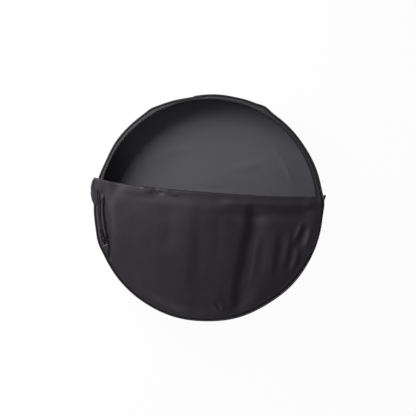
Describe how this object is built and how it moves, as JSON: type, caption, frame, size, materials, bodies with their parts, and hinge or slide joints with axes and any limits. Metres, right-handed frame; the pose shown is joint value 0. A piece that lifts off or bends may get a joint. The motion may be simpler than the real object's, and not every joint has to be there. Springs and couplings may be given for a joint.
{
  "type": "bike wheel bag",
  "caption": "Round padded carrying bag for one bicycle wheel, zipped open over the top, its front flap folded down inside and a carry handle on the rim.",
  "frame": {"origin": "centre of the back panel's outer face, on which the bag lies", "axes": "+Z out through the front, +Y towards the carry handle at the top, +X to the right seen from the front"},
  "size_m": [0.7381, 0.7381, 0.1079],
  "materials": {
    "shell_fabric": "matt black woven polyester",
    "lining": "dark grey coated lining",
    "foam": "grey foam, inside the back",
    "woven_tape": "black ribbed tape and webbing",
    "zip_teeth": "black moulded teeth",
    "black_enamel": "black enamelled zinc"
  },
  "bodies": {
    "bag": {"back_panel": "shell_fabric", "back_padding": "foam", "back_lining": "lining", "back_piping": "woven_tape", "back_seam_binding": "woven_tape", "upper_gusset": "shell_fabric", "lower_gusset": "shell_fabric", "gusset_lining": "lining", "front_piping": "woven_tape", "front_seam_binding": "woven_tape", "front_panel": "shell_fabric", "front_lining": "lining", "gusset_zip_tape": "woven_tape", "gusset_zip_teeth": "zip_teeth", "front_zip_tape_left": "woven_tape", "front_zip_tape_right": "woven_tape", "front_zip_teeth_left": "zip_teeth", "front_zip_teeth_right": "zip_teeth", "zip_end_tab_left": "shell_fabric", "zip_end_tab_right": "shell_fabric", "zip_bottom_stop": "black_enamel", "zip_top_stop_outer": "black_enamel", "zip_top_stop_inner": "black_enamel", "handle_strap_left": "woven_tape", "handle_strap_right": "woven_tape", "handle_anchor_left": "shell_fabric", "handle_anchor_right": "shell_fabric", "zip_edge_corner": "woven_tape"},
    "flap": {"flap_panel": "shell_fabric", "flap_lining": "lining", "flap_zip_tape": "woven_tape", "flap_zip_teeth": "zip_teeth"},
    "slider": {"slider_body": "black_enamel"},
    "pull": {"pull_tab": "black_enamel"},
    "handle": {"handle_grip": "woven_tape"}
  },
  "joints": [
    {"name": "flap_fold", "type": "hinge", "parent": "bag", "child": "flap", "pos_m": [0.00367, 0.04886, 0.09685], "axis": [-0.9972, 0.075, 0], "range_deg": [0, 180], "deforming": ["flap_panel", "flap_lining", "flap_zip_tape", "flap_zip_teeth", "zip_edge_corner"]},
    {"name": "zip_slide", "type": "hinge", "parent": "bag", "child": "slider", "pos_m": [0, 0, 0.0982], "axis": [0, 0, -1], "range_deg": [0, 212.6], "deforming": ["front_zip_tape_left", "front_zip_tape_right", "front_zip_teeth_left", "front_zip_teeth_right"]},
    {"name": "pull_swing", "type": "hinge", "parent": "slider", "child": "pull", "pos_m": [-0.33593, -0.09823, 0.1019], "axis": [0.9598, 0.2807, 0], "range_deg": [0, 165]},
    {"name": "handle_lift", "type": "slide", "parent": "bag", "child": "handle", "axis": [0, 1, 0], "range_m": [0, 0.02], "deforming": ["handle_strap_left", "handle_strap_right"]}
  ]
}
